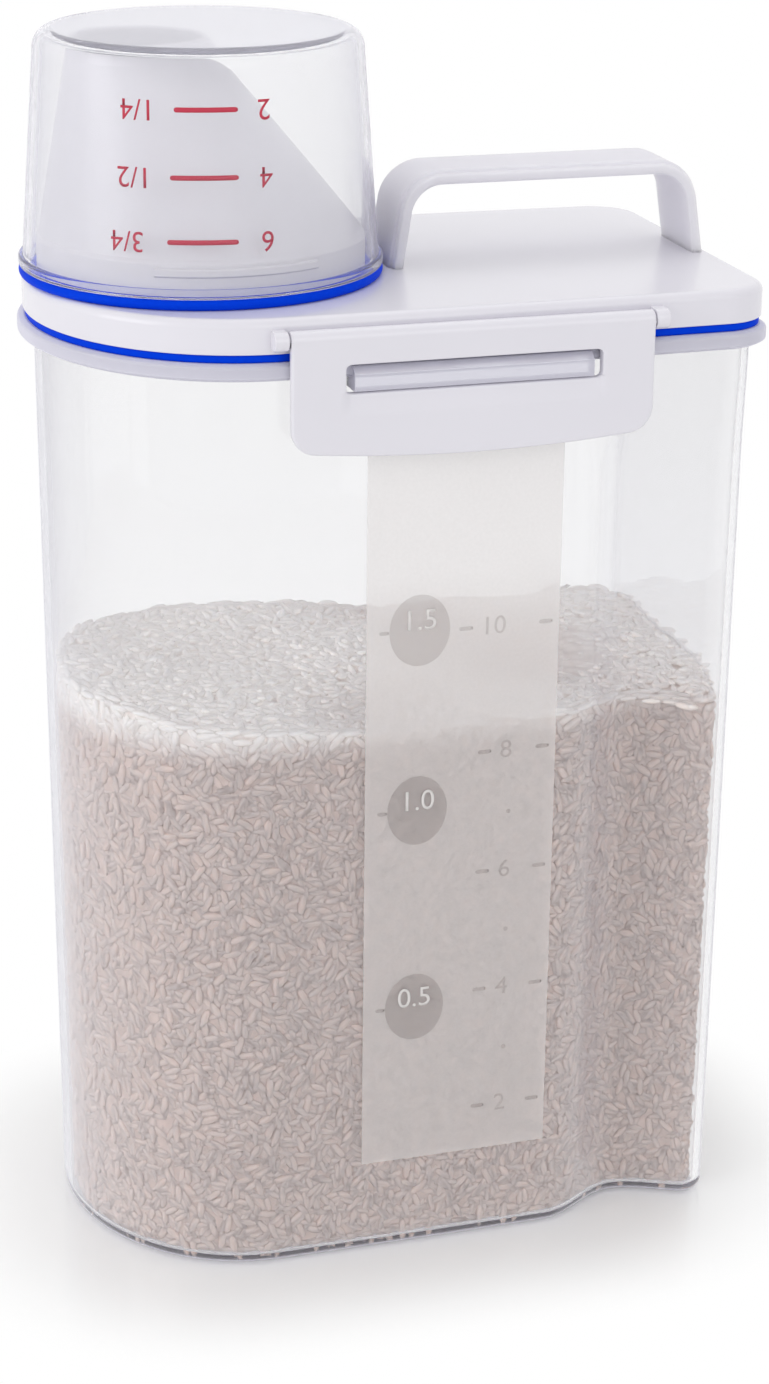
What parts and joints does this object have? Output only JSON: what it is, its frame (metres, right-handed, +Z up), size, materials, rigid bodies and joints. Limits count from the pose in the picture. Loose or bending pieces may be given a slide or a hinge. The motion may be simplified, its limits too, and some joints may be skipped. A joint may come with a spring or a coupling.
{
  "type": "rice bin",
  "caption": "Egg-shaped clear food bin with a slanted pour spout under a lift-off measuring cup, a strap handle and side flip latches.",
  "frame": {"origin": "middle of the underside, where the bin stands", "axes": "+Z up, X along the bin with the spout at -X and the square end at +X, -Y the front with the level scale"},
  "size_m": [0.1676, 0.1126, 0.2935],
  "materials": {
    "clear_body": "clear gloss",
    "frosted_scale": "frosted",
    "white_lid": "satin gloss",
    "white_spout": "satin",
    "blue_silicone": "semi-gloss",
    "clear_cup": "clear gloss"
  },
  "bodies": {
    "root": {"container": "clear_body", "level_scale": "frosted_scale", "lid": "white_lid", "lid_seal": "blue_silicone", "pour_spout": "white_spout", "cup_seal_ring": "blue_silicone", "carry_handle": "white_lid"},
    "cup": {"measuring_cup": "clear_cup"},
    "front_flap": {"front_latch": "white_lid"},
    "back_flap": {"back_latch": "white_lid"}
  },
  "joints": [
    {"name": "cup_lift", "type": "slide", "parent": "root", "child": "cup", "axis": [0, 0, 1], "range_m": [0, 0.06]},
    {"name": "front_latch_pivot", "type": "hinge", "parent": "root", "child": "front_flap", "pos_m": [0.008, -0.0541, 0.2328], "axis": [-1, 0, 0], "range_deg": [0, 120]},
    {"name": "back_latch_pivot", "type": "hinge", "parent": "root", "child": "back_flap", "pos_m": [0.008, 0.0541, 0.2328], "axis": [1, 0, 0], "range_deg": [0, 120]}
  ]
}
